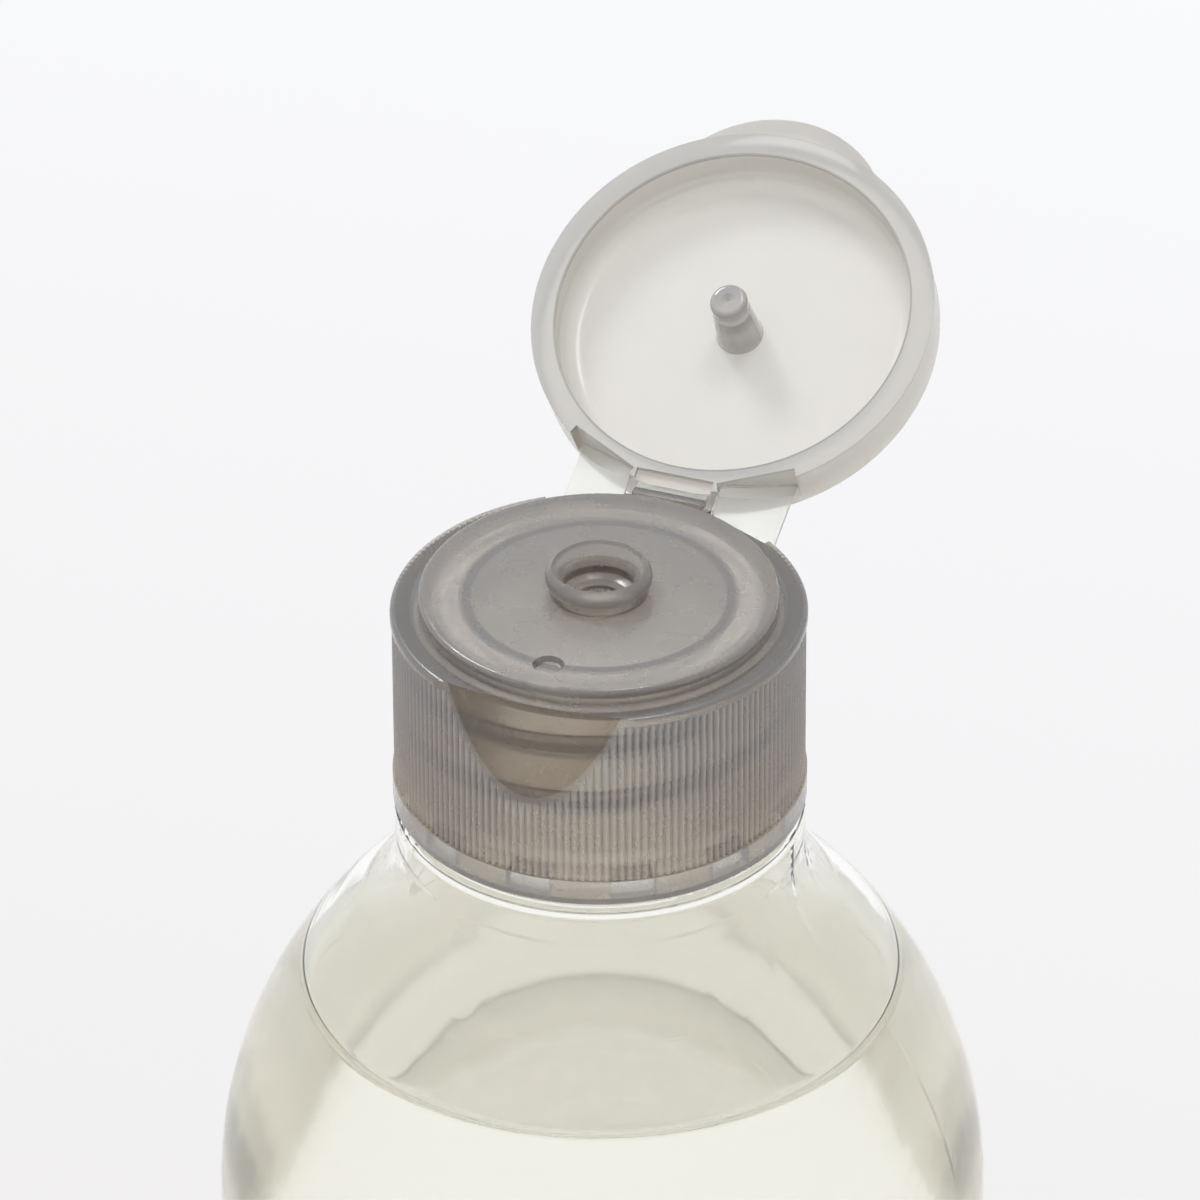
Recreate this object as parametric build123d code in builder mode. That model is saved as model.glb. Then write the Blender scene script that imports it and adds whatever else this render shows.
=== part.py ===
from build123d import *
import os
from math import acos, asin, atan2, cos, degrees, radians, sin, sqrt, tau

# A clear lotion bottle with a screwed-on flip-top cap, its lid standing open.
# Millimetres. The foot stands on z = 0, the axis of the bottle is Z, the hinge is at the back (+Y).

# Bottle
body_radius = 31.2
body_height = 88.8
bottle_wall = 0.9
heel_radius = 5.0
foot_width = 3.0
push_up_height = 4.0
dome_radius = 38.0
hollow_radius = 10.0
collar_inset = 0.1
collar_height = 3.7
collar_edge = 0.4
collar_bend = 0.8
neck_wall = 1.9
mouth_edge = 0.4

# Lotion
headspace_height = 13.5
lotion_clearance = 0.15

# Cap: skirt, deck and nozzle
skirt_radius = 16.5
skirt_height = 17.3
skirt_wall = 1.9
thread_room = 1.6
rim_gap = 0.5
band_height = 2.1
lead_in_wall = 1.2
lead_in_height = 2.0
lead_in_taper = 2.0
lip_height = 0.8
lip_edge = 0.45
rib_count = 165
rib_inset = 0.14
rib_depth = 0.24
top_wall = 0.9
deck_clearance = 0.3
deck_rise = 1.34
deck_wall = 1.15
seal_gap = 0.06
deck_edge = 0.4
mouth_clearance = 0.2
nozzle_height = 2.26
orifice_radius = 1.95
orifice_cone = 0.35
cup_ledge = 0.6
cup_drop = 0.23
cup_fall = 0.25
mouth_step = 0.6
mouth_flare = 0.45
nozzle_lip = 0.43
bead_bulge = 0.32
bead_height = 1.6
plug_clearance = 0.3
plug_wall = 0.7
plug_depth = 3.0
gate_radius = 1.25
gate_depth = 0.45
gate_taper = 0.2
gate_inset = 3.05

# Cap: windows round the rim and the thumb scallop in front
window_count = 12
window_angle = 12.8
window_height = 1.65
window_rise = 0.35
window_skin = 0.4
window_slant = 1.2
scallop_inset = 1.4
scallop_depth = 11.4
scallop_radius = 37.0
scallop_half_width = 12.0

# Lid, modelled shut and then swung open
lid_open_angle = 150.0
closing_gap = 0.15
lid_wall = 1.95
lid_draft = 0.15
lid_edge = 0.6
roof_wall = 0.94
roof_fillet = 1.6
nozzle_clearance = 0.35
tab_reach = 1.75
tab_half_angle = 28.0
tab_rise = 0.6
tab_thickness = 2.1
tab_taper = 20.0
tab_blend = 3.0

# Pin under the lid that stops the nozzle
pin_clearance = 0.4
pin_root_step = 0.35
pin_groove_depth = 0.25
pin_groove_height = 0.7
pin_head_height = 1.0
pin_tip_edge = 0.5
pin_drop = 1.75
pin_dimple_radius = 0.6
pin_dimple_depth = 0.35

# Hinge: a film web in the middle and a stretching strap on each side
hinge_reach = 0.07
hinge_rise = 0.57
web_half_width = 3.0
web_thickness = 0.25
land_inset = 0.15
land_rise = 0.42
land_width = 0.8
land_clearance = 0.25
strap_inner = 3.5
strap_outer = 9.3
strap_thickness = 0.4
strap_side_gap = 0.25
strap_seat_depth = 0.75
strap_gap = 0.3
base_inner_reach = 0.75
base_outer_reach = 3.7
lid_inner_reach = 0.85
lid_outer_reach = 3.2

overrun = 4.0

# Radii, worked in from the skirt of the cap to the neck, and up from the orifice to the nozzle's bead
skirt_bore_radius = skirt_radius - skirt_wall
lead_in_radius = skirt_radius - lead_in_wall
rib_radius = skirt_radius - rib_inset
rib_root_radius = rib_radius - rib_depth
neck_radius = skirt_bore_radius - thread_room
neck_bore_radius = neck_radius - neck_wall
plug_radius = neck_bore_radius - plug_clearance
collar_radius = skirt_radius - collar_inset
lid_radius = skirt_radius
roof_radius = lid_radius - lid_draft
lid_bore_radius = lid_radius - lid_wall
deck_radius = lid_bore_radius - deck_clearance
deck_bore_radius = neck_radius + mouth_clearance
gate_reach = deck_radius - gate_inset
cup_radius = orifice_radius + orifice_cone + cup_ledge
mouth_radius = cup_radius + mouth_step
nozzle_radius = mouth_radius + nozzle_lip
bead_radius = nozzle_radius + bead_bulge
pin_radius = orifice_radius - pin_clearance
pin_groove_radius = pin_radius - pin_groove_depth
pin_root_radius = pin_radius + pin_root_step

# Heights up the bottle, from the two tangent arcs of its shoulder
arc_run = collar_radius + hollow_radius - (body_radius - dome_radius)
arc_rise = sqrt((dome_radius + hollow_radius) ** 2 - arc_run**2)
arc_turn = degrees(atan2(arc_rise, arc_run))
hollow_height = body_height + arc_rise
ledge_height = hollow_height + collar_height
rim_height = ledge_height + rim_gap
shoulder_height = rim_height + skirt_height
deck_height = shoulder_height + deck_rise
underside_height = deck_height - deck_wall
mouth_height = underside_height - seal_gap
nozzle_top = deck_height + nozzle_height
roof_inner = nozzle_top + nozzle_clearance
lid_top = roof_inner + roof_wall
lotion_level = hollow_height - headspace_height

# Places round the hinge
hinge_height = shoulder_height + hinge_rise
hinge_offset = skirt_radius + hinge_reach
land_face = skirt_radius - land_inset
strap_seat_radius = skirt_radius - strap_seat_depth
strap_near_angle = asin(strap_inner / strap_seat_radius)
strap_far_angle = asin(strap_outer / strap_seat_radius)
strap_mid_angle = (strap_near_angle + strap_far_angle) / 2
strap_spread = (strap_far_angle - strap_near_angle) / 2
strap_seat = strap_seat_radius * cos(strap_spread)
strap_half_width = strap_seat_radius * sin(strap_spread)
swing = (
    Pos(0, hinge_offset, hinge_height)
    * Rot(X=-lid_open_angle)
    * Pos(0, -hinge_offset, -hinge_height)
)

# The thumb tab's brim, a round through its two ends and its tip
tab_half_chord = lid_radius * sin(radians(tab_half_angle))
tab_sag = lid_radius + tab_reach - lid_radius * cos(radians(tab_half_angle))
tab_brim_radius = (tab_half_chord**2 + tab_sag**2) / (2 * tab_sag)
tab_brim_offset = lid_radius + tab_reach - tab_brim_radius

os.makedirs("parts", exist_ok=True)


def bottle_outline(inset):
    """Draws the bottle's outline, from its axis at the foot up to the collar, moved in by inset."""
    foot_outer = body_radius - heel_radius
    push_up = TangentArc(
        (0, push_up_height + inset), (foot_outer - foot_width, inset), tangent=(1, 0)
    )
    Line(push_up @ 1, (foot_outer, inset))
    heel = CenterArc((foot_outer, heel_radius), heel_radius - inset, -90, 90)
    Line(heel @ 1, (body_radius - inset, body_height))
    CenterArc((body_radius - dome_radius, body_height), dome_radius - inset, 0, arc_turn)
    hollow = CenterArc(
        (collar_radius + hollow_radius, hollow_height), hollow_radius + inset, 180 + arc_turn, -arc_turn
    )
    return push_up @ 0, hollow @ 1


def facet(side):
    """The flat seat of one strap, its local x along the skirt and its local y upwards."""
    turn = side * strap_mid_angle
    return Plane(
        origin=(strap_seat * sin(turn), strap_seat * cos(turn), shoulder_height),
        x_dir=(-cos(turn), sin(turn), 0),
        z_dir=(sin(turn), cos(turn), 0),
    )


def strap_end(side, inner_reach, outer_reach, direction):
    """Draws the end of one strap on its seat: up the lid for direction 1, down the skirt for -1."""
    reach = side * (strap_half_width - strap_side_gap)
    Polygon(
        (reach, direction * inner_reach),
        (-reach, direction * outer_reach),
        (-reach, direction * (outer_reach - strap_thickness)),
        (reach, direction * (inner_reach - strap_thickness)),
        align=None,
    )


def strap_pocket(side, inner_reach, outer_reach, direction):
    """Draws the pocket that leaves room for one folded strap, open past the parting plane."""
    half = side * strap_half_width
    Polygon(
        (half, direction * (inner_reach + strap_gap)),
        (-half, direction * (outer_reach + strap_gap)),
        (-half, -direction * overrun),
        (half, -direction * overrun),
        align=None,
    )


def tab_blend_centre(side):
    """The centre of the round that blends one end of the thumb tab into the lid's wall."""
    root_reach = roof_radius + tab_blend
    brim_reach = tab_brim_radius + tab_blend
    turn = acos((root_reach**2 + tab_brim_offset**2 - brim_reach**2) / (2 * root_reach * tab_brim_offset))
    return Vector(side * root_reach * sin(turn), -root_reach * cos(turn))


def tab_corners():
    """The ends of the thumb tab's two blends, from its root on the left round to that on the right."""
    corners = []
    for side in (-1, 1):
        centre = tab_blend_centre(side)
        brim_centre = Vector(0, -tab_brim_offset)
        root = centre.normalized() * roof_radius
        flank = brim_centre + (centre - brim_centre).normalized() * tab_brim_radius
        corners.append((root, flank))
    (left_root, left_flank), (right_root, right_flank) = corners
    return left_root, left_flank, right_flank, right_root


def blend_arc(start, end, side):
    """Draws one hollow round of the thumb tab between two of its corners."""
    centre = tab_blend_centre(side)
    bulge = ((start + end) / 2 - centre).normalized() * tab_blend
    ThreePointArc(start, centre + bulge, end)


# Bottle: a blown shell with a collar and a plain, thicker neck
with BuildPart() as bottle:
    with BuildSketch(Plane.XZ):
        with BuildLine():
            axis_foot, collar_start = bottle_outline(0)
            Polyline(
                collar_start,
                (collar_radius, ledge_height - collar_edge),
                (collar_radius - collar_edge, ledge_height),
                (neck_radius, ledge_height),
                (neck_radius, mouth_height - mouth_edge),
                (neck_radius - mouth_edge, mouth_height),
                (0, mouth_height),
                axis_foot,
            )
        make_face()
    revolve(axis=Axis.Z)
    with BuildSketch(Plane.XZ):
        with BuildLine():
            axis_foot, bore_start = bottle_outline(bottle_wall)
            bore = FilletPolyline(
                bore_start,
                (bore_start.X, ledge_height - bottle_wall),
                (neck_bore_radius, ledge_height - bottle_wall),
                (neck_bore_radius, mouth_height + overrun),
                radius=collar_bend,
            )
            Polyline(bore @ 1, (0, mouth_height + overrun), axis_foot)
        make_face()
    revolve(axis=Axis.Z, mode=Mode.SUBTRACT)
bottle.part.label = "bottle"

# Lotion: the liquid up to its level, a little clear of the wall
with BuildPart() as lotion:
    with BuildSketch(Plane.XZ):
        with BuildLine():
            axis_foot, collar_start = bottle_outline(bottle_wall + lotion_clearance)
            Polyline(collar_start, (0, hollow_height), axis_foot)
        make_face()
    revolve(axis=Axis.Z)
    split(bisect_by=Plane.XY.offset(lotion_level), keep=Keep.BOTTOM)
lotion.part.label = "lotion"

# Cap: skirt, shoulder, deck, nozzle and plug ring, turned about the axis
with BuildPart() as cap_base:
    with BuildSketch(Plane.XZ):
        with BuildLine():
            band_top = rim_height + band_height
            lip_foot = shoulder_height - lip_height
            core_radius = (skirt_bore_radius + rib_root_radius) / 2
            outside = Polyline(
                (lead_in_radius, rim_height),
                (skirt_radius, rim_height),
                (skirt_radius, band_top),
                (core_radius, band_top),
                (core_radius, lip_foot),
                (skirt_radius, lip_foot),
                (skirt_radius, shoulder_height - lip_edge),
            )
            lip = CenterArc((skirt_radius - lip_edge, shoulder_height - lip_edge), lip_edge, 0, 90)
            Polyline(lip @ 1, (deck_radius, shoulder_height), (deck_radius, deck_height - deck_edge))
            round_edge = CenterArc((deck_radius - deck_edge, deck_height - deck_edge), deck_edge, 0, 90)
            deck = Polyline(
                round_edge @ 1,
                (nozzle_radius, deck_height),
                (nozzle_radius, nozzle_top - bead_height),
            )
            bead = ThreePointArc(
                deck @ 1,
                (bead_radius, nozzle_top - bead_height / 2),
                ((nozzle_radius + mouth_radius) / 2, nozzle_top),
            )
            plug_bore_radius = plug_radius - plug_wall
            cup_floor = deck_height - cup_drop
            Polyline(
                bead @ 1,
                (mouth_radius, nozzle_top - mouth_flare / 2),
                (cup_radius, nozzle_top - 2 * mouth_flare),
                (cup_radius, cup_floor),
                (orifice_radius + orifice_cone, cup_floor - cup_fall),
                (orifice_radius, cup_floor - cup_fall - orifice_cone),
                (orifice_radius, underside_height),
                (plug_bore_radius, underside_height),
                (plug_bore_radius, underside_height - plug_depth),
                (plug_radius, underside_height - plug_depth),
                (plug_radius, underside_height),
                (deck_bore_radius, underside_height),
                (deck_bore_radius, shoulder_height - top_wall),
                (skirt_bore_radius, shoulder_height - top_wall),
                (skirt_bore_radius, rim_height + lead_in_height + lead_in_taper),
                (lead_in_radius, rim_height + lead_in_height),
                outside @ 0,
            )
        make_face()
    revolve(axis=Axis.Z)
    # Grip ribs, a toothed ring from the plain band up to the shoulder's lip
    with BuildSketch(Plane.XY.offset(band_top)):
        with BuildLine():
            rib_turn = tau / rib_count
            Polyline(
                [
                    (radius * cos((tooth + share) * rib_turn), radius * sin((tooth + share) * rib_turn))
                    for tooth in range(rib_count)
                    for radius, share in ((rib_radius, 0), (rib_root_radius, 1 / 2))
                ],
                close=True,
            )
        make_face()
        Circle((core_radius + lead_in_radius) / 2, mode=Mode.SUBTRACT)
    extrude(amount=lip_foot - band_top)
    # Thumb scallop, a flatter round than the skirt, leaning out to nothing at its foot
    scallop_plane = Plane(
        origin=(0, scallop_inset - skirt_radius, shoulder_height),
        x_dir=(1, 0, 0),
        z_dir=(0, scallop_inset, scallop_depth),
    )
    with BuildSketch(scallop_plane):
        with BuildLine():
            sag = scallop_radius - sqrt(scallop_radius**2 - scallop_half_width**2)
            brow = ThreePointArc((-scallop_half_width, sag), (0, 0), (scallop_half_width, sag))
            Polyline(brow @ 1, (scallop_half_width, -overrun), (-scallop_half_width, -overrun), brow @ 0)
        make_face()
    extrude(amount=scallop_depth + overrun, both=True, mode=Mode.SUBTRACT)
    # Thin windows round the rim, hollowed from inside under a slanting top
    for window in range(window_count):
        turn = window * 360 / window_count - 90 - window_angle / 2
        with BuildSketch(Plane.XZ.rotated((0, 0, turn))):
            window_face = skirt_radius - window_skin
            window_foot = rim_height + window_rise
            window_top = window_foot + window_height
            Polygon(
                (skirt_bore_radius, window_foot),
                (window_face, window_foot),
                (window_face, window_top),
                (skirt_bore_radius, window_top + window_slant),
                align=None,
            )
        revolve(axis=Axis.Z, revolution_arc=window_angle, mode=Mode.SUBTRACT)
    # Strap pockets and the raised land that carries the film web
    for side in (1, -1):
        with BuildSketch(facet(side)):
            strap_pocket(side, base_inner_reach, base_outer_reach, -1)
        extrude(amount=overrun, mode=Mode.SUBTRACT)
    with BuildSketch(Plane.XY.offset(lip_foot)):
        with Locations((0, land_face - land_width / 2)):
            Rectangle(2 * web_half_width, land_width)
    extrude(amount=lip_height + land_rise)
    # Moulding gate, a small round hollow in front of the nozzle
    with Locations((0, -gate_reach, deck_height - gate_depth / 2)):
        Cone(gate_radius - gate_taper, gate_radius, gate_depth, mode=Mode.SUBTRACT)
cap_base.part.label = "cap_base"

# Lid: a shallow cap with a thumb tab in front, hollowed, pocketed for the hinge, with the pin inside
lid_rim = shoulder_height + closing_gap
pin_tip = shoulder_height - pin_drop
with BuildPart() as flip_lid:
    with BuildSketch(Plane.XZ):
        with BuildLine():
            wall = Line((lid_radius, lid_rim), (roof_radius, lid_top - lid_edge))
            edge = CenterArc((roof_radius - lid_edge, lid_top - lid_edge), lid_edge, 0, 90)
            Polyline(edge @ 1, (0, lid_top), (0, lid_rim), wall @ 0)
        make_face()
    revolve(axis=Axis.Z)
    with BuildSketch(Plane.XY.offset(shoulder_height + tab_rise)):
        with BuildLine():
            left_root, left_flank, right_flank, right_root = tab_corners()
            blend_arc(left_root, left_flank, -1)
            ThreePointArc(left_flank, (0, -lid_radius - tab_reach), right_flank)
            blend_arc(right_flank, right_root, 1)
            Polyline(right_root, (0, 0), left_root)
        make_face()
    extrude(amount=tab_thickness, taper=tab_taper)
    with BuildSketch(Plane.XZ):
        with BuildLine():
            bore = Polyline(
                (0, roof_inner),
                (0, lid_rim - overrun),
                (lid_bore_radius, lid_rim - overrun),
                (lid_bore_radius, roof_inner - roof_fillet),
            )
            cove = CenterArc((lid_bore_radius - roof_fillet, roof_inner - roof_fillet), roof_fillet, 0, 90)
            Line(cove @ 1, bore @ 0)
        make_face()
    revolve(axis=Axis.Z, mode=Mode.SUBTRACT)
    with BuildSketch(Plane.XZ):
        with BuildLine():
            head_top = pin_tip + pin_head_height
            shank = Polyline(
                (0, roof_inner + roof_wall / 2),
                (pin_root_radius, roof_inner + roof_wall / 2),
                (pin_root_radius, roof_inner),
                (pin_radius, head_top + pin_groove_height),
                (pin_groove_radius, head_top + pin_groove_height - pin_groove_depth),
                (pin_groove_radius, head_top + pin_groove_depth),
                (pin_radius, head_top),
                (pin_radius, pin_tip + pin_tip_edge),
            )
            nose = CenterArc((pin_radius - pin_tip_edge, pin_tip + pin_tip_edge), pin_tip_edge, 0, -90)
            Polyline(
                nose @ 1,
                (pin_dimple_radius, pin_tip),
                (0, pin_tip + pin_dimple_depth),
                shank @ 0,
            )
        make_face()
    revolve(axis=Axis.Z)
    for side in (1, -1):
        with BuildSketch(facet(side)):
            strap_pocket(side, lid_inner_reach, lid_outer_reach, 1)
        extrude(amount=overrun, mode=Mode.SUBTRACT)
    # Room for the web's land, and the flat face that the web runs into
    relief_top = land_rise + land_clearance
    relief_width = land_width + land_clearance
    with BuildSketch(Plane.XY.offset(shoulder_height - overrun)):
        with Locations((0, land_face - relief_width + (relief_width + overrun) / 2)):
            Rectangle(2 * (web_half_width + land_clearance), relief_width + overrun)
    extrude(amount=relief_top + overrun, mode=Mode.SUBTRACT)
    with BuildSketch(Plane.XY.offset(shoulder_height)):
        with Locations((0, land_face + overrun / 2)):
            Rectangle(2 * (web_half_width + land_clearance), overrun)
    extrude(amount=lid_inner_reach + web_thickness + land_clearance, mode=Mode.SUBTRACT)
open_lid = flip_lid.part.moved(swing)
open_lid.label = "flip_lid"

# Straps: thin skins that run from their seat on the skirt to their seat on the open lid
straps = []
for side, name in ((1, "hinge_strap_right"), (-1, "hinge_strap_left")):
    with BuildPart() as strap:
        with BuildSketch(facet(side)):
            strap_end(side, base_inner_reach, base_outer_reach, -1)
        with BuildSketch(Plane(swing * facet(side).location)):
            strap_end(side, lid_inner_reach, lid_outer_reach, 1)
        loft(ruled=True)
    strap.part.label = name
    straps.append(strap.part)

# Web: the film hinge between the land and the lid's flat face
with BuildPart() as hinge_web:
    with BuildSketch(Plane.YZ):
        web_top = shoulder_height + land_rise
        web_end = shoulder_height + relief_top
        ends = [swing * Pos(0, land_face, height) for height in (web_end, web_end + web_thickness)]
        near_end, far_end = [(end.position.Y, end.position.Z) for end in ends]
        Polygon((land_face, web_top), near_end, far_end, (land_face, web_top - web_thickness), align=None)
    extrude(amount=web_half_width, both=True)
hinge_web.part.label = "hinge_web"

for piece in (bottle.part, lotion.part, cap_base.part, open_lid, *straps, hinge_web.part):
    export_step(piece, f"parts/{piece.label}.step")
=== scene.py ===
from math import asin, cos, exp, pi, radians, sin, sqrt, tau

import bmesh
import bpy
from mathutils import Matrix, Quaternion, Vector


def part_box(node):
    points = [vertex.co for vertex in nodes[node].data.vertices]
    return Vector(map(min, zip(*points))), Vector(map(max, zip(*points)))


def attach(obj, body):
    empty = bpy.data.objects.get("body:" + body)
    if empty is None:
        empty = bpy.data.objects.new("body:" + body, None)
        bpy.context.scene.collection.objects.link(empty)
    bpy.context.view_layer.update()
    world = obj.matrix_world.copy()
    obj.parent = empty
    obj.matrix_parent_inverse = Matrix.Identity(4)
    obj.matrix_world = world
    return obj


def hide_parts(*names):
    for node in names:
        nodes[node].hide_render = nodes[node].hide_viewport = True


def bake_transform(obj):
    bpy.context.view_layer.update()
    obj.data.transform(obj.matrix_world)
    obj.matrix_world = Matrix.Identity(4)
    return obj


# A clear lotion bottle with a grey flip-top cap, dressed for the camera.
# Metres, in the frame of the solids.
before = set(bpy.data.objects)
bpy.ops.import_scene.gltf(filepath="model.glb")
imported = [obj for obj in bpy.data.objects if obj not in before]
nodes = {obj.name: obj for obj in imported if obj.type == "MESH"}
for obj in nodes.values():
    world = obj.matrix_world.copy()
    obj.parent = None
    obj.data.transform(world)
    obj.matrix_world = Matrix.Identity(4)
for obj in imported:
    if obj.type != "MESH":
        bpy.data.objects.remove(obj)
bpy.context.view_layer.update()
scene = bpy.context.scene
MM = 0.001

# Places read from the solids
cap_low, cap_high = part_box("cap_base")
body_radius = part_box("bottle")[1].x
rim_height = cap_low.z
lotion_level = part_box("lotion")[1].z
skirt_height = 17.3 * MM
shoulder_height = rim_height + skirt_height

# The bottle's inner outline, which the lotion fills
bottle_wall = 0.9 * MM
heel_radius = 5 * MM
foot_width = 3 * MM
push_up_height = 4 * MM
dome_radius = 38 * MM
body_height = 88.8 * MM
frost_height = 9 * MM

# The cap's skirt, with its ribs and the thumb scallop
skirt_radius = cap_high.x
rib_inset = 0.14 * MM
rib_depth = 0.24 * MM
band_height = 2.1 * MM
lip_height = 0.8 * MM
rib_radius = skirt_radius - rib_inset
rib_root_radius = rib_radius - rib_depth
rib_foot = rim_height + band_height
rib_top = shoulder_height - lip_height
scallop_least_radius = 14.9 * MM
skirt_edge = 0.01 * MM
rim_gap = 0.5 * MM
ledge_height = rim_height - rim_gap

# The lid, in its shut place
lid_open_angle = radians(150)
hinge_reach = 0.07 * MM
hinge_rise = 0.57 * MM
lid_wall = 1.95 * MM
closing_gap = 0.15 * MM
roof_rise = 3.95 * MM
hinge_offset = skirt_radius + hinge_reach
hinge_height = shoulder_height + hinge_rise
lid_bore_radius = skirt_radius - lid_wall
lid_rim = shoulder_height + closing_gap
lid_edge = 0.03 * MM
lid_rim_depth = 0.3 * MM
lid_lip_width = 0.14 * MM
pin_root_radius = 1.95 * MM
roof_height = shoulder_height + roof_rise

# Camera, from the outline of the cap in the photograph
camera_azimuth = radians(20.73)
camera_elevation = radians(33.58)
camera_distance = 803.6 * MM
camera_roll = radians(-0.35)
camera_lens = 306.1
sensor_width = 36.0
image_side = 1200
shoulder_pixel = (598.84, 604.13)

# Lotion surface
lotion_overlap = 0.45 * MM
meniscus_rise = 0.4 * MM
meniscus_reach = 0.5 * MM
meniscus_width = 3 * MM
round_steps = 256
push_up_steps = 24
heel_steps = 16
dome_steps = 48
meniscus_steps = 24

# Screw thread between neck and cap
thread_pitch = 5.1 * MM
thread_root_half = 0.8 * MM
thread_crest_half = 0.3 * MM
thread_sink = 0.12 * MM
neck_radius = 13.0 * MM
neck_thread_depth = 0.85 * MM
neck_thread_start = 3.2 * MM
neck_thread_turns = 2.6
skirt_bore_radius = 14.6 * MM
cap_thread_depth = 0.6 * MM
cap_thread_start = 5.5 * MM
cap_thread_turns = 1.9
thread_steps_per_turn = 96

# Hinge films, cut across into bands
strap_cuts = 12

# Merging distance for doubled vertices
doubled = 0.001 * MM

# Studio floor and air, and what clear pieces show behind them
floor_radius = 8
floor_segments = 96
floor_tone = (0.82, 0.82, 0.825)
# Painted light falloff on the seen floor: darker and warmer near the camera, brighter further back.
floor_near_shade = (0.89, 0.873, 0.882)
floor_far_lit = (0.972, 0.98, 1.0)
floor_light_falloff = (0.08, 0.36)
floor_camera_share = 0.9
air_light = (0.97, 0.985, 1.0)
air_level = 0.62
air_seen = (0.91, 0.915, 0.92)
through_white = (1.0, 0.998, 0.975)


# Small helpers


def mesh_object(name, bm, smooth=True):
    """Links a finished bmesh as an object at the origin."""
    mesh = bpy.data.meshes.new(name)
    bm.to_mesh(mesh)
    bm.free()
    for polygon in mesh.polygons:
        polygon.use_smooth = smooth
    piece = bpy.data.objects.new(name, mesh)
    scene.collection.objects.link(piece)
    return piece


def arc_points(centre, radius, start, end, count):
    """Points on an arc in the r, z plane, angles from the r axis."""
    turns = [start + (end - start) * step / count for step in range(count + 1)]
    return [(centre[0] + radius * cos(turn), centre[1] + radius * sin(turn)) for turn in turns]


def spun(bm, outline, steps=round_steps):
    """Spins an outline of r, z points that starts and ends on the axis into a closed shell."""
    verts = [bm.verts.new((radius, 0, height)) for radius, height in outline]
    edges = [bm.edges.new(pair) for pair in zip(verts, verts[1:])]
    bmesh.ops.spin(
        bm, geom=verts + edges, cent=(0, 0, 0), axis=(0, 0, 1), angle=tau, steps=steps, use_merge=True
    )
    bmesh.ops.remove_doubles(bm, verts=bm.verts, dist=doubled)
    bmesh.ops.recalc_face_normals(bm, faces=bm.faces)


def input_of(node, **values):
    """Sets sockets of a shader node by their names, with spaces written as underscores."""
    for key, value in values.items():
        node.inputs[key.replace("_", " ")].default_value = value


def material_with_shader(name):
    """A new node material and its Principled shader."""
    material = bpy.data.materials.new(name)
    material.use_nodes = True
    return material, material.node_tree, node_of(material.node_tree, "BSDF_PRINCIPLED")


def node_of(tree, kind):
    """The first node of a kind in a tree."""
    return next(node for node in tree.nodes if node.type == kind)


def join(tree, *pairs):
    """Links each source socket to its target socket."""
    for source, target in pairs:
        tree.links.new(source, target)


def colour_mix(tree, low=None, high=None):
    """A colour mix with the given end tones, and its factor, low, high and result sockets."""
    mix = tree.nodes.new("ShaderNodeMix")
    mix.data_type = "RGBA"
    for socket, tone in ((mix.inputs[6], low), (mix.inputs[7], high)):
        if tone:
            socket.default_value = (*tone, 1)
    return mix.inputs["Factor"], mix.inputs[6], mix.inputs[7], mix.outputs[2]


def product(tree, first, second):
    """The product of two values."""
    times = tree.nodes.new("ShaderNodeMath")
    times.operation = "MULTIPLY"
    join(tree, (first, times.inputs[0]), (second, times.inputs[1]))
    return times.outputs[0]


def dress(piece, material):
    """Gives a piece its only material."""
    piece.data.materials.clear()
    piece.data.materials.append(material)


# Finishes


def moulded_skin_group():
    """Shared skin of moulded plastic: soft flow clouds, and the clouds with a fine grain."""
    group = bpy.data.node_groups.new("moulded_skin", "ShaderNodeTree")
    for name, default in (("Cloud Scale", 120.0), ("Grain Scale", 2500.0), ("Grain Share", 0.4)):
        socket = group.interface.new_socket(name, in_out="INPUT", socket_type="NodeSocketFloat")
        socket.default_value = default
    for name in ("Cloud", "Grain"):
        group.interface.new_socket(name, in_out="OUTPUT", socket_type="NodeSocketFloat")
    tree = group.nodes
    entry, leave = tree.new("NodeGroupInput"), tree.new("NodeGroupOutput")
    place = tree.new("ShaderNodeTexCoord")
    cloud, grain = tree.new("ShaderNodeTexNoise"), tree.new("ShaderNodeTexNoise")
    input_of(cloud, Detail=1.0, Roughness=0.5)
    input_of(grain, Detail=0.0)
    blend = tree.new("ShaderNodeMix")
    for source, target in (
        (place.outputs["Object"], cloud.inputs["Vector"]),
        (place.outputs["Object"], grain.inputs["Vector"]),
        (entry.outputs["Cloud Scale"], cloud.inputs["Scale"]),
        (entry.outputs["Grain Scale"], grain.inputs["Scale"]),
        (entry.outputs["Grain Share"], blend.inputs["Factor"]),
        (cloud.outputs["Fac"], blend.inputs["A"]),
        (grain.outputs["Fac"], blend.inputs["B"]),
        (cloud.outputs["Fac"], leave.inputs["Cloud"]),
        (blend.outputs["Result"], leave.inputs["Grain"]),
    ):
        group.links.new(source, target)
    return group


moulded_skin = moulded_skin_group()


def roughness_spread(tree, value, least, most):
    """Spreads the middle of a noise over a range of roughness."""
    spread = tree.nodes.new("ShaderNodeMapRange")
    input_of(spread, From_Min=0.3, From_Max=0.7, To_Min=least, To_Max=most)
    tree.links.new(value, spread.inputs["Value"])
    return spread.outputs["Result"]


def add_skin(tree, shader, tones, roughness, cloud_scale, grain_scale, grain_share):
    """Lays the moulded skin on a shader: two tones and a roughness range."""
    skin = tree.nodes.new("ShaderNodeGroup")
    skin.node_tree = moulded_skin
    input_of(skin, Cloud_Scale=cloud_scale, Grain_Scale=grain_scale, Grain_Share=grain_share)
    factor, _, _, tint = colour_mix(tree, *tones)
    join(
        tree,
        (skin.outputs["Cloud"], factor),
        (tint, shader.inputs["Base Color"]),
        (roughness_spread(tree, skin.outputs["Grain"], *roughness), shader.inputs["Roughness"]),
    )


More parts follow.
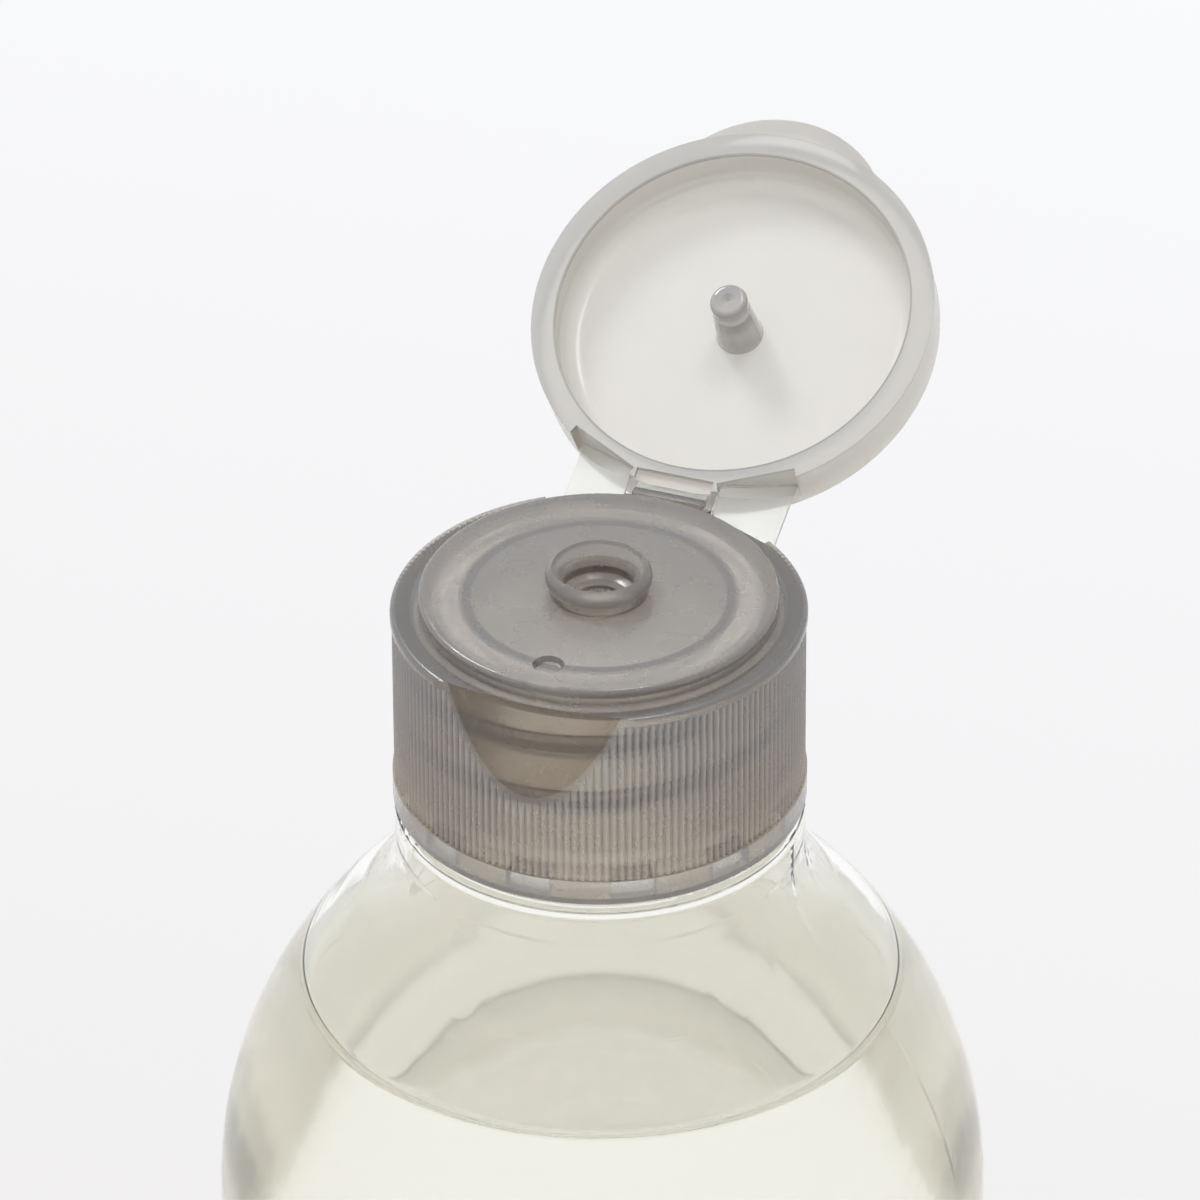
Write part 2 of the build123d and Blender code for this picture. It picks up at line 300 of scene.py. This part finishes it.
def add_clouds(tree, shader, tones, scale, roughness=None):
    """Lays soft clouds on a clear shader: two tones, and a roughness range if one is given."""
    place, cloud = tree.nodes.new("ShaderNodeTexCoord"), tree.nodes.new("ShaderNodeTexNoise")
    input_of(cloud, Scale=scale, Detail=0.0)
    factor, _, _, tint = colour_mix(tree, *tones)
    join(
        tree,
        (place.outputs["Object"], cloud.inputs["Vector"]),
        (cloud.outputs["Fac"], factor),
        (tint, shader.inputs["Base Color"]),
    )
    if roughness:
        tree.links.new(roughness_spread(tree, cloud.outputs["Fac"], *roughness), shader.inputs["Roughness"])


def height_fade(tree, low, high, at_low, at_high):
    """A value that runs from one level to another between two heights on the piece."""
    place, split, fade = (
        tree.nodes.new(kind)
        for kind in ("ShaderNodeTexCoord", "ShaderNodeSeparateXYZ", "ShaderNodeMapRange")
    )
    input_of(fade, From_Min=low, From_Max=high, To_Min=at_low, To_Max=at_high)
    join(
        tree,
        (place.outputs["Object"], split.inputs["Vector"]),
        (split.outputs["Z"], fade.inputs["Value"]),
    )
    return fade.outputs["Result"]


def add_veil(tree, shader, veil_shader, share):
    """Lays a second shader over the first by a share."""
    veil = tree.nodes.new("ShaderNodeMixShader")
    join(
        tree,
        (share, veil.inputs["Fac"]),
        (shader.outputs[0], veil.inputs[1]),
        (veil_shader.outputs[0], veil.inputs[2]),
        (veil.outputs[0], node_of(tree, "OUTPUT_MATERIAL").inputs["Surface"]),
    )


def add_frost(tree, shader, tone, most, top):
    """Turns a clear shader frosty from a height down to the heel."""
    frost = tree.nodes.new("ShaderNodeBsdfTranslucent")
    input_of(frost, Color=(*tone, 1))
    add_veil(tree, shader, frost, height_fade(tree, heel_radius, top, most, 0.0))


def add_depth(tree, colour, density):
    """Tints the light that goes through a clear piece by the depth that it crosses."""
    depth = tree.nodes.new("ShaderNodeVolumeAbsorption")
    input_of(depth, Color=(*colour, 1), Density=density)
    tree.links.new(depth.outputs["Volume"], node_of(tree, "OUTPUT_MATERIAL").inputs["Volume"])


def clear_polyester():
    """Blown clear polyester: glossy, with hardly any colour, and a little frosty at the foot."""
    material, tree, shader = material_with_shader("clear_polyester")
    input_of(shader, IOR=1.57, Transmission_Weight=1.0, Roughness=0.0)
    add_clouds(tree, shader, tones=((0.985, 0.984, 0.976), (0.995, 0.994, 0.988)), scale=60)
    add_frost(tree, shader, tone=(0.985, 0.975, 0.945), most=0.2, top=frost_height)
    return material


def pale_lotion():
    """Thin lotion, a little milky, with a faint straw tint that deepens with its depth."""
    material, tree, shader = material_with_shader("pale_lotion")
    input_of(shader, IOR=1.34, Transmission_Weight=0.95)
    tones = ((0.975, 0.968, 0.93), (0.985, 0.978, 0.945))
    add_clouds(tree, shader, tones, scale=40, roughness=(0.04, 0.07))
    add_depth(tree, colour=(0.94, 0.93, 0.79), density=2.4)
    return material


def smoky_polypropylene(name, tones, transmission, roughness, coat, depth_colour, depth_density):
    """Hazy grey polypropylene with a satin skin, browner the deeper it is."""
    material, tree, shader = material_with_shader(name)
    input_of(shader, IOR=1.49, Transmission_Weight=transmission)
    input_of(shader, Coat_Weight=coat[0], Coat_Roughness=coat[1], Coat_IOR=1.49)
    add_skin(tree, shader, tones, roughness, cloud_scale=260, grain_scale=1800, grain_share=0.1)
    add_depth(tree, depth_colour, depth_density)
    return material


def span_mask(tree, value, low, high, soft):
    """1 where a value lies between two limits, with a short fade at each end."""
    rise, fall = tree.nodes.new("ShaderNodeMapRange"), tree.nodes.new("ShaderNodeMapRange")
    input_of(rise, From_Min=low - soft, From_Max=low + soft, To_Min=0.0, To_Max=1.0)
    input_of(fall, From_Min=high - soft, From_Max=high + soft, To_Min=1.0, To_Max=0.0)
    join(tree, (value, rise.inputs["Value"]), (value, fall.inputs["Value"]))
    return product(tree, rise.outputs["Result"], fall.outputs["Result"])


def axis_places(tree, point):
    """The distance of a point from the bottle's axis, and its height."""
    split, flat, reach = (
        tree.nodes.new(kind)
        for kind in ("ShaderNodeSeparateXYZ", "ShaderNodeVectorMath", "ShaderNodeVectorMath")
    )
    flat.operation, reach.operation = "MULTIPLY", "LENGTH"
    flat.inputs[1].default_value = (1, 1, 0)
    join(
        tree,
        (point, split.inputs["Vector"]),
        (point, flat.inputs[0]),
        (flat.outputs["Vector"], reach.inputs[0]),
    )
    return reach.outputs["Value"], split.outputs["Z"]


def skirt_zones(tree):
    """The skirt's masks: 1 on the ribs, how near their skin is to the crests, and 1 in the scallop."""
    place, crest = tree.nodes.new("ShaderNodeTexCoord"), tree.nodes.new("ShaderNodeMapRange")
    distance, height = axis_places(tree, place.outputs["Object"])
    input_of(crest, From_Min=rib_root_radius, From_Max=rib_radius, To_Min=0.0, To_Max=1.0)
    tree.links.new(distance, crest.inputs["Value"])
    rib_floor = rib_root_radius - 3 * skirt_edge
    ribbed = product(
        tree,
        span_mask(tree, height, rib_foot, rib_top, skirt_edge),
        span_mask(tree, distance, rib_floor, skirt_radius + MM, skirt_edge),
    )
    scallop = product(
        tree,
        span_mask(tree, height, rib_foot, shoulder_height, skirt_edge),
        span_mask(tree, distance, scallop_least_radius, rib_floor, skirt_edge),
    )
    return ribbed, crest.outputs["Result"], scallop


def add_skirt(material, valley_shade, crest_highlight, scallop_tone, haze_and_backlight_tones, haze_range):
    """Works the skirt into a cap finish: hazy ribs with a painted highlight along the crests and painted
    shade in the valleys, haze warm at the foot with painted light from behind, and a browner scallop.
    """
    tree = material.node_tree
    shader = node_of(tree, "BSDF_PRINCIPLED")
    plain_tint = shader.inputs["Base Color"].links[0].from_socket
    ribbed, crest, scallop = skirt_zones(tree)
    # Painted highlight along the rib crests and painted shade in the valleys, set by distance from the
    # axis.
    on_crest, _, _, rib_highlight_and_shade = colour_mix(tree, valley_shade, crest_highlight)
    on_ribs, off_ribs, rib_tint, tint = colour_mix(tree)
    in_scallop, off_scallop, _, hollow = colour_mix(tree, high=scallop_tone)
    # The haze is warm at the foot, painted light shining through from behind, and grey higher up, the
    # haze's own colour.
    climb, _, _, haze_tint = colour_mix(tree, *haze_and_backlight_tones)
    haze = tree.nodes.new("ShaderNodeBsdfPrincipled")
    input_of(haze, Roughness=0.5)
    share = tree.nodes.new("ShaderNodeMapRange")
    input_of(share, To_Min=haze_range[0], To_Max=haze_range[1])
    join(
        tree,
        (crest, on_crest),
        (ribbed, on_ribs),
        (plain_tint, off_ribs),
        (rib_highlight_and_shade, rib_tint),
        (scallop, in_scallop),
        (tint, off_scallop),
        (hollow, shader.inputs["Base Color"]),
        (height_fade(tree, rib_foot, rib_top, 0.0, 1.0), climb),
        (haze_tint, haze.inputs["Base Color"]),
        (crest, share.inputs["Value"]),
    )
    add_veil(tree, shader, haze, product(tree, share.outputs["Result"], ribbed))


def lid_zones(tree):
    """The lid's masks: 1 on the rim's face, 1 along the rim's inner edge and 1 on the pin."""
    place, shut = tree.nodes.new("ShaderNodeTexCoord"), tree.nodes.new("ShaderNodeVectorRotate")
    shut.rotation_type = "X_AXIS"
    input_of(shut, Center=(0, hinge_offset, hinge_height), Angle=lid_open_angle)
    tree.links.new(place.outputs["Object"], shut.inputs["Vector"])
    distance, height = axis_places(tree, shut.outputs["Vector"])
    rim_level = span_mask(tree, height, lid_rim - MM, lid_rim + lid_rim_depth, lid_edge)
    pin_level = span_mask(tree, height, lid_rim - 5 * MM, roof_height, lid_edge)
    rim_start = lid_bore_radius - 2 * lid_edge
    spans = (
        (rim_start, skirt_radius + 3 * MM, rim_level),
        (rim_start, lid_bore_radius + lid_lip_width, rim_level),
        (-MM, pin_root_radius, pin_level),
    )
    return [
        product(tree, span_mask(tree, distance, least, most, lid_edge), level)
        for least, most, level in spans
    ]


def add_lid_zones(material, rim_tone, lip_shade_line, pin_tone, pin_roughness):
    """Works the lid's zones into its finish: a greyer rim, a fine painted shade line along the rim's inner
    edge and a dark shiny pin.
    """
    tree = material.node_tree
    shader = node_of(tree, "BSDF_PRINCIPLED")
    masks = lid_zones(tree)
    tint = shader.inputs["Base Color"].links[0].from_socket
    # The middle tone is a painted shade line along the rim's inner edge.
    for mask, tone in zip(masks, (rim_tone, lip_shade_line, pin_tone)):
        factor, under, _, layered = colour_mix(tree, high=tone)
        join(tree, (mask, factor), (tint, under))
        tint = layered
    polish = tree.nodes.new("ShaderNodeMix")
    polish.inputs["B"].default_value = pin_roughness
    join(
        tree,
        (tint, shader.inputs["Base Color"]),
        (masks[2], polish.inputs["Factor"]),
        (shader.inputs["Roughness"].links[0].from_socket, polish.inputs["A"]),
        (polish.outputs["Result"], shader.inputs["Roughness"]),
    )


def hinge_skin():
    """Stretched thin polypropylene, nearly clear."""
    material, tree, shader = material_with_shader("hinge_skin")
    input_of(shader, IOR=1.49, Transmission_Weight=0.8)
    tones = ((0.92, 0.93, 0.9), (0.955, 0.96, 0.94))
    add_skin(tree, shader, tones, (0.12, 0.25), cloud_scale=500, grain_scale=4000, grain_share=0.3)
    return material


# Pieces


def lotion_outline():
    """The lotion's outline from the axis at the foot, up the wall, over the meniscus and in to the axis."""
    inset = bottle_wall - lotion_overlap
    foot_radius = body_radius - heel_radius
    ring_radius = foot_radius - foot_width
    # The push-up is a round that leaves the axis level and ends on the foot ring.
    push_up_radius = (ring_radius**2 + push_up_height**2) / (2 * push_up_height)
    push_up_turn = asin(ring_radius / push_up_radius)
    centre_height = push_up_height + inset - push_up_radius
    outline = arc_points((0, centre_height), push_up_radius, pi / 2, pi / 2 - push_up_turn, push_up_steps)
    outline[0] = (0, outline[0][1])
    outline += arc_points((foot_radius, heel_radius), heel_radius - inset, -pi / 2, 0, heel_steps)
    dome_centre = (body_radius - dome_radius, body_height)
    reach = dome_radius - inset
    rise = lotion_level + meniscus_rise - body_height
    outline += arc_points(dome_centre, reach, 0, asin(rise / reach), dome_steps)
    wall_radius = dome_centre[0] + sqrt((dome_radius - bottle_wall) ** 2 - rise**2)
    for step in range(meniscus_steps + 1):
        distance = meniscus_width * (step / meniscus_steps) ** 2
        climb = meniscus_rise * exp(-distance / meniscus_reach)
        outline.append((wall_radius - distance, lotion_level + climb))
    outline.append((0, lotion_level))
    return outline


def build_lotion():
    """The lotion, carried into the wall that it wets so that no air shows between them."""
    bm = bmesh.new()
    spun(bm, lotion_outline())
    piece = mesh_object("lotion_fill", bm)
    dress(piece, pale_lotion())
    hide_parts("lotion")
    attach(piece, "bottle")


def build_thread(name, body, material, root_radius, crest_radius, start_height, turns):
    """A screw thread: one trapezoid section, spun up a helix."""
    bm = bmesh.new()
    section = [
        (root_radius, -thread_root_half),
        (crest_radius, -thread_crest_half),
        (crest_radius, thread_crest_half),
        (root_radius, thread_root_half),
    ]
    verts = [bm.verts.new((radius, 0, start_height + height)) for radius, height in section]
    face = bm.faces.new(verts)
    steps = round(turns * thread_steps_per_turn)
    bmesh.ops.spin(
        bm,
        geom=[face],
        cent=(0, 0, 0),
        axis=(0, 0, 1),
        dvec=(0, 0, turns * thread_pitch / steps),
        angle=tau * turns,
        steps=steps,
    )
    bmesh.ops.remove_doubles(bm, verts=bm.verts, dist=doubled)
    bmesh.ops.recalc_face_normals(bm, faces=bm.faces)
    piece = mesh_object(name, bm, smooth=False)
    dress(piece, material)
    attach(piece, body)


def build_film(node, material):
    """A hinge film: the solid's own skin, cut across into bands along its length."""
    bm = bmesh.new()
    bm.from_mesh(nodes[node].data)
    bmesh.ops.remove_doubles(bm, verts=bm.verts, dist=doubled)
    low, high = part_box(node)
    start = Vector((0, low.y, low.z))
    end = Vector((0, high.y, high.z))
    along = end - start
    for cut in range(1, strap_cuts):
        bmesh.ops.bisect_plane(
            bm,
            geom=bm.verts[:] + bm.edges[:] + bm.faces[:],
            plane_co=start + along * cut / strap_cuts,
            plane_no=along.normalized(),
        )
    piece = mesh_object(node + "_film", bm, smooth=False)
    dress(piece, material)
    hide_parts(node)
    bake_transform(piece)


bottle_finish = clear_polyester()
smoke = (0.556, 0.411, 0.2)
cap_finish = smoky_polypropylene(
    "smoky_cap",
    tones=((0.88, 0.885, 0.91), (0.91, 0.915, 0.94)),
    transmission=0.82,
    roughness=(0.24, 0.30),
    coat=(0.4, 0.1),
    depth_colour=smoke,
    depth_density=540,
)
add_skirt(
    cap_finish,
    # Painted shade in the rib valleys and a painted highlight on the crests.
    valley_shade=(0.66, 0.63, 0.6),
    crest_highlight=(0.97, 0.97, 0.98),
    scallop_tone=(0.5, 0.43, 0.36),
    # Warm at the foot: painted light shining through from behind; grey above: the haze's own colour.
    haze_and_backlight_tones=((0.76, 0.64, 0.54), (0.64, 0.64, 0.65)),
    haze_range=(0.1, 0.5),
)
lid_finish = smoky_polypropylene(
    "pale_lid",
    tones=((0.905, 0.895, 0.86), (0.93, 0.92, 0.885)),
    transmission=0.58,
    roughness=(0.36, 0.44),
    coat=(0.5, 0.15),
    depth_colour=smoke,
    depth_density=90,
)
add_lid_zones(
    lid_finish,
    rim_tone=(0.78, 0.785, 0.795),
    # A painted shade line along the rim's inner edge.
    lip_shade_line=(0.5, 0.49, 0.5),
    pin_tone=(0.62, 0.62, 0.645),
    pin_roughness=0.1,
)
film_finish = hinge_skin()

dress(nodes["bottle"], bottle_finish)
dress(nodes["cap_base"], cap_finish)
dress(nodes["flip_lid"], lid_finish)
build_lotion()
build_thread(
    "neck_thread",
    "bottle",
    bottle_finish,
    root_radius=neck_radius - thread_sink,
    crest_radius=neck_radius + neck_thread_depth,
    start_height=ledge_height + neck_thread_start,
    turns=neck_thread_turns,
)
build_thread(
    "cap_thread",
    "cap",
    cap_finish,
    root_radius=skirt_bore_radius + thread_sink,
    crest_radius=skirt_bore_radius - cap_thread_depth,
    start_height=ledge_height + cap_thread_start,
    turns=cap_thread_turns,
)
for film in ("hinge_strap_left", "hinge_strap_right", "hinge_web"):
    build_film(film, film_finish)


# Stage


def seen_mask(tree, camera_share=1.0):
    """1 on mirrored rays and rays through a clear piece, camera_share where a backdrop is seen itself."""
    path = tree.nodes.new("ShaderNodeLightPath")
    direct, mirrored, through = (tree.nodes.new("ShaderNodeMath") for _ in range(3))
    direct.operation = "MULTIPLY"
    direct.inputs[1].default_value = camera_share
    mirrored.operation = through.operation = "MAXIMUM"
    join(
        tree,
        (path.outputs["Is Camera Ray"], direct.inputs[0]),
        (direct.outputs[0], mirrored.inputs[0]),
        (path.outputs["Is Glossy Ray"], mirrored.inputs[1]),
        (mirrored.outputs[0], through.inputs[0]),
        (path.outputs["Is Transmission Ray"], through.inputs[1]),
    )
    return through.outputs[0]


def through_tone(tree, colour):
    """A backdrop's colour, warm and near white on rays that come through a clear piece."""
    path = tree.nodes.new("ShaderNodeLightPath")
    factor, plain, _, tone = colour_mix(tree, high=through_white)
    join(tree, (path.outputs["Is Transmission Ray"], factor), (colour, plain))
    return tone


def floor_material():
    """Pale floor: it takes the object's shadow, and where it is seen it glows as a pale sheet with painted
    shade, darker and warmer towards the camera.
    """
    material = bpy.data.materials.new("pale_floor")
    material.use_nodes = True
    tree = material.node_tree
    tree.nodes.clear()
    output, matt, glow, place, split, fade, mix = (
        tree.nodes.new(kind)
        for kind in (
            "ShaderNodeOutputMaterial", "ShaderNodeBsdfDiffuse", "ShaderNodeEmission", "ShaderNodeTexCoord",
            "ShaderNodeSeparateXYZ", "ShaderNodeMapRange", "ShaderNodeMixShader",
        )
    )
    input_of(matt, Color=(*floor_tone, 1))
    input_of(fade, From_Min=floor_light_falloff[0], From_Max=floor_light_falloff[1], To_Min=0.0, To_Max=1.0)
    # Painted shade near the camera, fading to the brighter far floor.
    factor, _, _, ramp = colour_mix(tree, floor_near_shade, floor_far_lit)
    join(
        tree,
        (place.outputs["Object"], split.inputs["Vector"]),
        (split.outputs["Y"], fade.inputs["Value"]),
        (fade.outputs["Result"], factor),
        (through_tone(tree, ramp), glow.inputs["Color"]),
        (seen_mask(tree, floor_camera_share), mix.inputs["Fac"]),
        (matt.outputs[0], mix.inputs[1]),
        (glow.outputs[0], mix.inputs[2]),
        (mix.outputs[0], output.inputs["Surface"]),
    )
    return material


def build_floor():
    """A wide round floor under the foot."""
    bm = bmesh.new()
    bmesh.ops.create_circle(bm, cap_ends=True, segments=floor_segments, radius=floor_radius)
    floor = mesh_object("floor", bm)
    floor.data.materials.append(floor_material())


def build_world():
    """Soft even studio air: one level as light, and a paler one where it is seen."""
    world = bpy.data.worlds.new("studio")
    scene.world = world
    world.use_nodes = True
    world.cycles.sampling_method = "NONE"
    tree = world.node_tree
    shade = tree.nodes["Background"]
    input_of(shade, Color=(*air_light, 1), Strength=air_level)
    pale, sky, mix = (
        tree.nodes.new(kind) for kind in ("ShaderNodeBackground", "ShaderNodeRGB", "ShaderNodeMixShader")
    )
    sky.outputs[0].default_value = (*air_seen, 1)
    join(
        tree,
        (through_tone(tree, sky.outputs[0]), pale.inputs["Color"]),
        (seen_mask(tree), mix.inputs["Fac"]),
        (shade.outputs[0], mix.inputs[1]),
        (pale.outputs[0], mix.inputs[2]),
        (mix.outputs[0], node_of(tree, "OUTPUT_WORLD").inputs["Surface"]),
    )


def area_lamp(name, direction, distance, side, watts):
    """A soft square lamp that looks at the cap."""
    lamp = bpy.data.lights.new(name, "AREA")
    lamp.shape = "SQUARE"
    lamp.size = side
    lamp.energy = watts
    holder = bpy.data.objects.new(name, lamp)
    holder.location = Vector((0, 0, shoulder_height)) + direction.normalized() * distance
    holder.rotation_mode = "QUATERNION"
    holder.rotation_quaternion = direction.to_track_quat("Z", "Y")
    holder.visible_camera = False
    holder.visible_transmission = False
    scene.collection.objects.link(holder)


def build_camera():
    """The camera on the photograph's line of sight, turned so that the cap's centre falls on its pixel."""
    back = Vector((
        sin(camera_azimuth) * cos(camera_elevation),
        -cos(camera_azimuth) * cos(camera_elevation),
        sin(camera_elevation),
    ))
    right = Vector((cos(camera_azimuth), sin(camera_azimuth), 0))
    up = back.cross(right)
    focal_pixels = camera_lens / sensor_width * image_side
    aside = (shoulder_pixel[0] - image_side / 2) / focal_pixels
    down = (shoulder_pixel[1] - image_side / 2) / focal_pixels
    forward = (-back - aside * right + down * up).normalized()
    camera = bpy.data.cameras.new("camera")
    camera.lens = camera_lens
    camera.sensor_width = sensor_width
    camera.clip_start = 0.05
    camera.clip_end = 30
    holder = bpy.data.objects.new("camera", camera)
    holder.location = Vector((0, 0, shoulder_height)) + back * camera_distance
    holder.rotation_mode = "QUATERNION"
    holder.rotation_quaternion = forward.to_track_quat("-Z", "Y") @ Quaternion((0, 0, 1), camera_roll)
    scene.collection.objects.link(holder)
    scene.camera = holder


build_floor()
build_world()
area_lamp("key", direction=Vector((-0.9, 0.45, 1.3)), distance=0.9, side=0.25, watts=3.0)
area_lamp("top", direction=Vector((0.1, 0.1, 1)), distance=0.8, side=0.22, watts=1.2)
build_camera()

scene.view_settings.view_transform = "Standard"
scene.cycles.max_bounces = 32
scene.cycles.transmission_bounces = 32
scene.cycles.glossy_bounces = 20
scene.cycles.diffuse_bounces = 3
